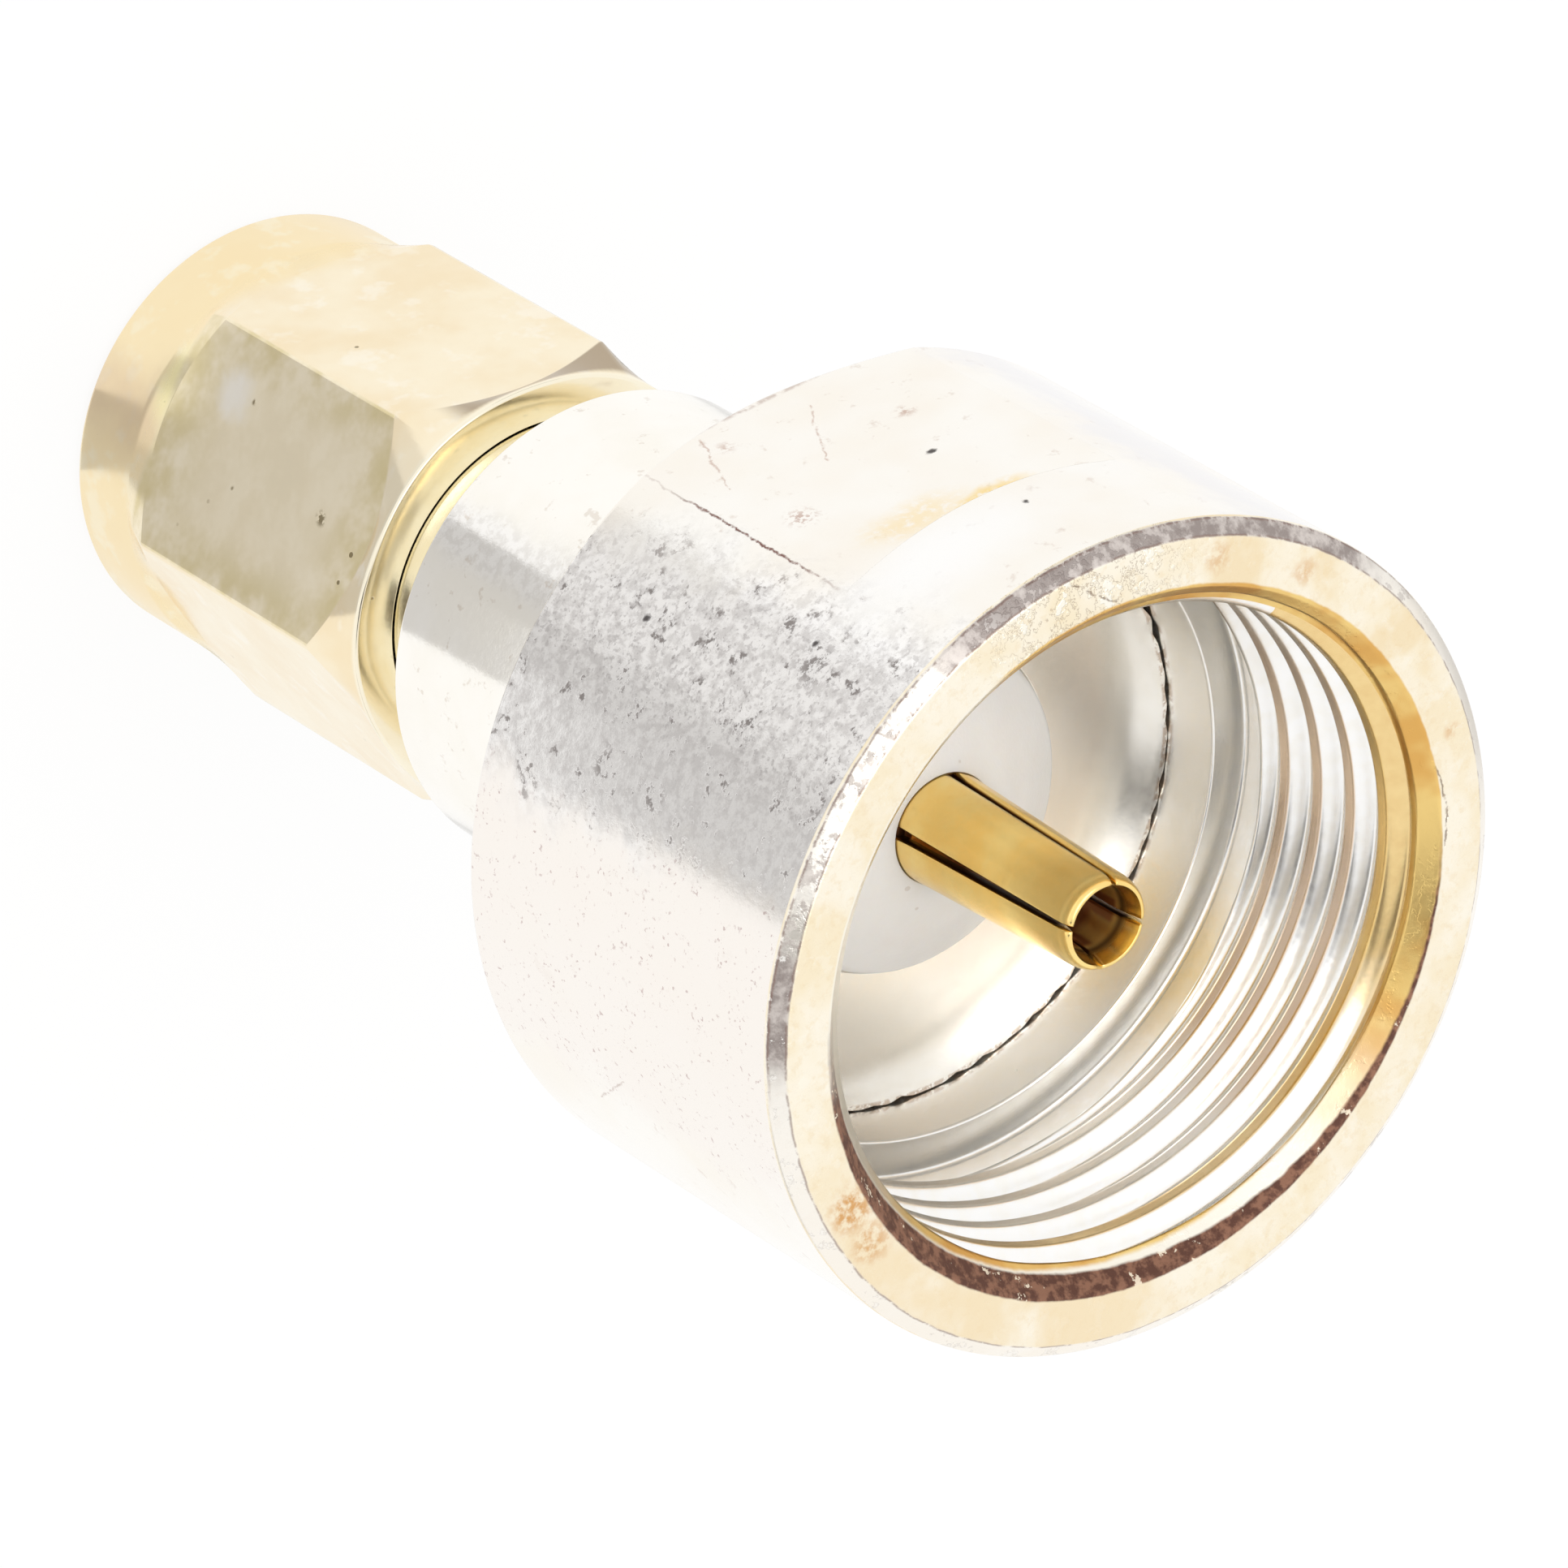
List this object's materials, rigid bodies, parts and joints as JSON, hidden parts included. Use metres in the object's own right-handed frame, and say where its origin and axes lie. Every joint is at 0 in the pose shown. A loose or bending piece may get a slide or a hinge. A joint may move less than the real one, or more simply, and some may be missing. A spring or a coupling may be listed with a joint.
{
  "type": "sma adapter",
  "caption": "Straight coaxial adapter: hexagonal SMA plug nut on one end, wide threaded coupling shell around a slotted centre contact on the other.",
  "frame": {"origin": "centre of the SMA coupling nut's front face, which the part stands on", "axes": "+Z along the common axis from the SMA nut to the open mouth of the coupling shell, +X out of one wrench flat of the shell"},
  "size_m": [0.0158, 0.0158, 0.0276],
  "materials": {
    "nut_gold": "thin gold plate on turned brass, dulled and stained on the flats",
    "ferrule_gold": "gold plate on turned brass",
    "ring_bronze": "bare phosphor bronze spring",
    "gasket_rubber": "soft silicone",
    "body_nickel": "bright nickel plate on turned brass, hazed",
    "shell_nickel": "worn nickel plate on brass, pitted, with brown stains at the rim",
    "ptfe_white": "white fluoropolymer, smooth",
    "insulator_plastic": "pale grey-white fluoropolymer, smooth",
    "contact_gold": "gold plate on beryllium copper"
  },
  "bodies": {
    "adapter": {"adapter_body": "body_nickel", "sma_ferrule": "ferrule_gold", "retaining_ring": "ring_bronze", "sma_gasket": "gasket_rubber", "rear_insulator": "ptfe_white", "front_insulator": "insulator_plastic", "centre_contact": "contact_gold"},
    "sma_nut": {"sma_coupling_nut": "nut_gold"},
    "shell": {"coupling_shell": "shell_nickel"}
  },
  "joints": [
    {"name": "sma_nut_spin", "type": "hinge", "parent": "adapter", "child": "sma_nut", "pos_m": [0, 0, 0.00475], "axis": [0, 0, 1], "continuous": true},
    {"name": "shell_spin", "type": "hinge", "parent": "adapter", "child": "shell", "pos_m": [0, 0, 0.0227], "axis": [0, 0, 1], "continuous": true}
  ]
}
